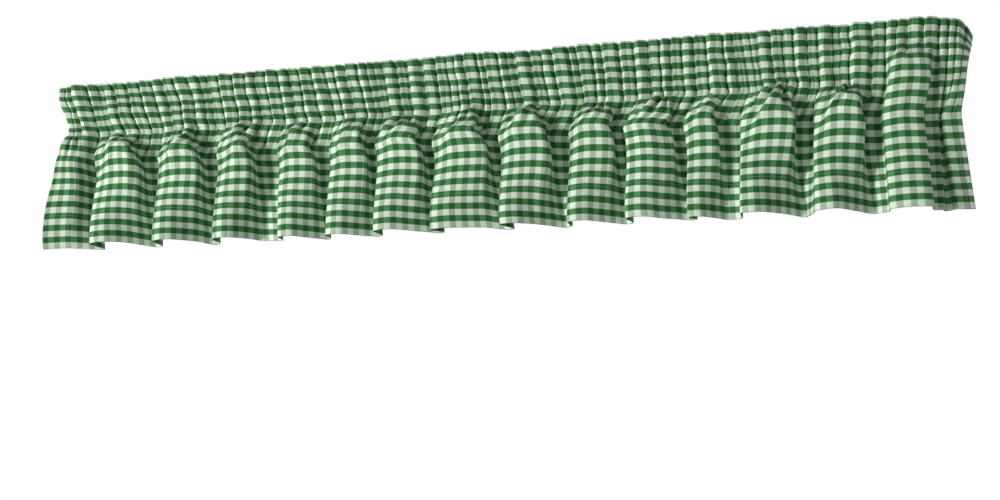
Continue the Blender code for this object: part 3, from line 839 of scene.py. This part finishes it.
@dataclass
class StitchRow:
    """A row of machine stitches along or down the panel."""

    name: str
    start: tuple[float, float]
    end: tuple[float, float]
    stitch_length: float = 2.6
    stitch_gap: float = 0.5
    thread_thickness: float = 0.42

    def build(self, panel: ValancePanel) -> bpy.types.Object:
        """Set each stitch on the face of the cloth.

        Args:
            panel: The hung cloth that the stitches lie on.

        Returns:
            The row of stitches.
        """
        run = math.dist(self.start, self.end)
        count = int(run / (self.stitch_length + self.stitch_gap))
        places = (np.arange(count) + 0.5) / count
        half = self.stitch_length / 2.0 / run
        shares = np.stack((places - half, places + half), axis=-1)
        across = self.start[0] + (self.end[0] - self.start[0]) * shares
        down = self.start[1] + (self.end[1] - self.start[1]) * shares
        outward = -panel.traced(panel.backward, across, down)
        ends = panel.traced(panel.surface, across, down) + outward * panel.cloth_thickness / 2.0
        one = bmesh.new()
        bmesh.ops.create_uvsphere(one, u_segments=6, v_segments=4, radius=1.0)
        stitch = bpy.data.meshes.new("one_stitch")
        one.to_mesh(stitch)
        one.free()
        row = bmesh.new()
        for (first, last), (out, _) in zip(ends, outward):
            along = Vector(last - first).normalized()
            side = along.cross(Vector(out)).normalized()
            turn = Matrix((side, along.cross(side), along)).transposed().to_4x4()
            size = Matrix.Diagonal((self.thread_thickness / 2.0, self.thread_thickness / 2.0,
                                    self.stitch_length / 2.0, 1.0))
            middle = Matrix.Translation((first + last) / 2.0)
            laid = stitch.copy()
            laid.transform(Matrix.Scale(1.0 / MM_PER_M, 4) @ middle @ turn @ size)
            row.from_mesh(laid)
            bpy.data.meshes.remove(laid)
        bpy.data.meshes.remove(stitch)
        mesh = bpy.data.meshes.new(self.name)
        row.to_mesh(mesh)
        row.free()
        mesh.shade_smooth()
        stitches = bpy.data.objects.new(self.name, mesh)
        bpy.context.collection.objects.link(stitches)
        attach(stitches, "root")
        return stitches

    def dress(self, stitches: bpy.types.Object, finish: "SewingThread") -> None:
        """Give the stitches their thread."""
        stitches.data.materials.append(finish.material())


@dataclass(frozen=True)
class CheckCotton:
    """Yarn-dyed plain-woven cotton in a small check, which is matt with a faint bloom."""

    white_square: str = "e0eddd"
    sage_square: str = "a6bfa2"
    mid_square: str = "4b8a53"
    green_square: str = "245d2e"
    repeat: float = 16.45
    white_at_edge: float = 2.6
    threads_per_repeat: int = 24
    roughness: float = 0.86
    sheen: float = 0.12

    def material(self) -> bpy.types.Material:
        """Draw the check, its threads and their slubs over the cut cloth.

        Returns:
            The cloth's material.
        """
        cloth = bpy.data.materials.new("check_cotton_plain_weave")
        cloth.use_nodes = True
        tree = cloth.node_tree
        shader = tree.nodes["Principled BSDF"]
        cut = add_node(tree, "UVMap", {"uv_map": "cut"})
        axes = add_node(tree, "SeparateXYZ", None, {0: cut.outputs[0]})
        repeat = self.repeat / MM_PER_M

        def math_node(operation: str, *values: Any) -> bpy.types.NodeSocket:
            """Add one step of arithmetic and return its result."""
            return add_node(tree, "Math", {"operation": operation},
                            dict(enumerate(values))).outputs[0]

        def coloured(place: bpy.types.NodeSocket, shift: float) -> bpy.types.NodeSocket:
            """Return 1 on the white yarns and 0 on the green ones."""
            moved = math_node("SUBTRACT", place, shift / MM_PER_M)
            share = math_node("FRACT", math_node("DIVIDE", moved, repeat))
            return math_node("GREATER_THAN", share, 0.5)

        def blended(weight: Any, low: Any, high: Any, kind: str = "MIX") -> bpy.types.NodeSocket:
            """Mix two colours."""
            return add_node(tree, "Mix", {"data_type": "RGBA", "blend_type": kind},
                            {0: weight, 6: low, 7: high}).outputs[2]

        white_warp = coloured(axes.outputs[0], 0.0)
        white_weft = coloured(axes.outputs[1], self.white_at_edge)
        pale_row = blended(white_warp, linear(self.sage_square), linear(self.white_square))
        green_row = blended(white_warp, linear(self.green_square), linear(self.mid_square))
        check = blended(white_weft, green_row, pale_row)

        # Real threads lie about 0.35 mm apart; here they are 0.69 mm so that they show up close
        rate = 2.0 * math.pi * self.threads_per_repeat / 2.0 / repeat
        over = math_node("MULTIPLY", math_node("SINE", math_node("MULTIPLY", axes.outputs[0], rate)),
                         math_node("SINE", math_node("MULTIPLY", axes.outputs[1], rate)))
        weft_stretch = add_node(tree, "Mapping", None,
                                {0: cut.outputs[0], 3: (60.0, 1450.0, 1.0)})
        weft_slub = add_node(tree, "TexNoise", None, {0: weft_stretch.outputs[0], "Scale": 1.0,
                                                      "Detail": 2.0, "Roughness": 0.5})
        warp_stretch = add_node(tree, "Mapping", None,
                                {0: cut.outputs[0], 3: (1450.0, 60.0, 1.0)})
        warp_slub = add_node(tree, "TexNoise", None, {0: warp_stretch.outputs[0], "Scale": 1.0,
                                                      "Detail": 2.0, "Roughness": 0.5})
        slub = math_node("ADD", weft_slub.outputs[0], warp_slub.outputs[0])
        shade = add_node(tree, "MapRange", None,
                         {0: math_node("ADD", slub, math_node("MULTIPLY", over, 0.22)),
                          1: 0.6, 2: 1.4, 3: 0.84, 4: 1.10})
        tone = add_node(tree, "CombineColor", None, {0: shade.outputs[0], 1: shade.outputs[0],
                                                     2: shade.outputs[0]})
        tree.links.new(blended(1.0, check, tone.outputs[0], "MULTIPLY"),
                       shader.inputs["Base Color"])
        relief = add_node(tree, "Bump", None, {"Strength": 0.5, "Distance": 0.00018,
                                               "Height": math_node("ADD", over, slub)})
        tree.links.new(relief.outputs[0], shader.inputs["Normal"])
        shader.inputs["Roughness"].default_value = self.roughness
        shader.inputs["Sheen Weight"].default_value = self.sheen
        shader.inputs["Sheen Roughness"].default_value = 0.5
        shader.inputs["Specular IOR Level"].default_value = 0.3
        return cloth


@dataclass(frozen=True)
class SewingThread:
    """Spun polyester sewing thread in a soft green, which has a slight gloss."""

    colour: str = "7fa585"
    roughness: float = 0.55
    twist_pitch: float = 0.7

    def material(self) -> bpy.types.Material:
        """Draw the thread with the fine bands of its twist.

        Returns:
            The thread's material.
        """
        thread = bpy.data.materials.new("sewing_thread_spun")
        thread.use_nodes = True
        tree = thread.node_tree
        shader = tree.nodes["Principled BSDF"]
        place = add_node(tree, "TexCoord")
        twist = add_node(tree, "TexWave", {"bands_direction": "DIAGONAL"},
                         {0: place.outputs["Object"], "Scale": MM_PER_M / self.twist_pitch / 20.0})
        low, high = linear(self.colour), linear("a5c2a8")
        tone = add_node(tree, "Mix", {"data_type": "RGBA"}, {0: twist.outputs[1], 6: low, 7: high})
        tree.links.new(tone.outputs[2], shader.inputs["Base Color"])
        shader.inputs["Roughness"].default_value = self.roughness
        return thread


@dataclass(frozen=True)
class PaleFloor:
    """Matt off-white studio floor."""

    colour: str = "f1f1ee"
    roughness: float = 0.9

    def material(self) -> bpy.types.Material:
        """Return the floor's material."""
        paint = bpy.data.materials.new("pale_floor_paint")
        paint.use_nodes = True
        shader = paint.node_tree.nodes["Principled BSDF"]
        shader.inputs["Base Color"].default_value = linear(self.colour)
        shader.inputs["Roughness"].default_value = self.roughness
        return paint


@dataclass(frozen=True)
class SoftLight:
    """One square soft light, in metres and watts."""

    name: str
    place: tuple[float, float, float]
    watts: float
    size: float

    def build(self, target: Vector) -> None:
        """Hang the light and turn it to the valance."""
        lamp = bpy.data.lights.new(self.name, "AREA")
        lamp.energy = self.watts
        lamp.size = self.size
        light = bpy.data.objects.new(self.name, lamp)
        light.location = self.place
        light.rotation_euler = (target - light.location).to_track_quat("-Z", "Y").to_euler()
        bpy.context.collection.objects.link(light)


@dataclass(frozen=True)
class Studio:
    """Floor, lights and camera, in metres and degrees."""

    floor_level: float = -0.98
    floor_size: float = 14.0
    camera_place: tuple[float, float, float] = (0.4975, -1.7861, -0.6012)
    camera_yaw: float = -14.464
    camera_pitch: float = 9.962
    lens: float = 50.0
    sensor: float = 36.0
    sky_behind: float = 1.0
    sky_ahead: float = 0.32
    sky_overhead: float = 0.55
    target: tuple[float, float, float] = (0.0, 0.0, -0.12)
    lights: tuple[SoftLight, ...] = (
        SoftLight("key_light", (-4.4, -4.0, -0.7), 420.0, 1.2),
    )

    def build(self) -> None:
        """Set up the floor, the lights and the camera."""
        ground = bmesh.new()
        bmesh.ops.create_grid(ground, x_segments=1, y_segments=1, size=self.floor_size / 2.0,
                              matrix=Matrix.Translation((0.0, 0.0, self.floor_level)))
        mesh = bpy.data.meshes.new("studio_floor")
        ground.to_mesh(mesh)
        ground.free()
        mesh.materials.append(PaleFloor().material())
        floor = bpy.data.objects.new("studio_floor", mesh)
        bpy.context.collection.objects.link(floor)
        world = bpy.data.worlds.new("soft_sky")
        bpy.context.scene.world = world
        world.use_nodes = True
        tree = world.node_tree
        direction = add_node(tree, "TexCoord")
        axes = add_node(tree, "SeparateXYZ", None, {0: direction.outputs["Generated"]})
        level = add_node(tree, "MapRange", {"interpolation_type": "SMOOTHSTEP"},
                         {0: axes.outputs[1], 1: -0.1, 2: 0.5, 3: self.sky_ahead,
                          4: self.sky_behind})
        overhead = add_node(tree, "MapRange", {"interpolation_type": "SMOOTHSTEP"},
                            {0: axes.outputs[2], 1: 0.38, 2: 0.9, 3: 1.0, 4: self.sky_overhead})
        strength = add_node(tree, "Math", {"operation": "MULTIPLY"},
                            {0: level.outputs[0], 1: overhead.outputs[0]})
        tree.links.new(strength.outputs[0], tree.nodes["Background"].inputs["Strength"])
        tree.nodes["Background"].inputs["Color"].default_value = (1.0, 1.0, 1.0, 1.0)
        for light in self.lights:
            light.build(Vector(self.target))
        yaw, pitch = math.radians(self.camera_yaw), math.radians(self.camera_pitch)
        ahead = Vector((math.sin(yaw) * math.cos(pitch), math.cos(yaw) * math.cos(pitch),
                        math.sin(pitch)))
        lens = bpy.data.cameras.new("camera")
        lens.lens = self.lens
        lens.sensor_width = self.sensor
        camera = bpy.data.objects.new("camera", lens)
        camera.location = self.camera_place
        camera.rotation_euler = ahead.to_track_quat("-Z", "Y").to_euler()
        bpy.context.collection.objects.link(camera)
        bpy.context.scene.camera = camera
        bpy.context.scene.view_settings.view_transform = "Standard"


def main() -> None:
    """Build the valance and its studio."""
    logging.basicConfig(level=logging.INFO, format="%(name)s: %(message)s")
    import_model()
    valance = ValancePanel()
    panel = valance.build()
    valance.dress(panel, CheckCotton())
    LOG.info("panel: %.0f mm wide when flat, %d faces", valance.width, len(panel.data.polygons))
    right, low = valance.width, HEM_LEVEL
    rows = (
        StitchRow("top_stitching", (2.0, 6.6), (right - 2.0, 6.6)),
        StitchRow("hem_stitching", (2.0, low - 46.0), (right - 2.0, low - 46.0)),
        StitchRow("left_hem_stitching", (10.5, 9.0), (10.5, low - 1.0)),
        StitchRow("right_hem_stitching", (right - 10.5, 9.0), (right - 10.5, low - 1.0)),
    )
    for row in rows:
        stitches = row.build(valance)
        row.dress(stitches, SewingThread())
        LOG.info("%s: %d faces", row.name, len(stitches.data.polygons))
    Studio().build()


if __name__ == "__main__":
    main()
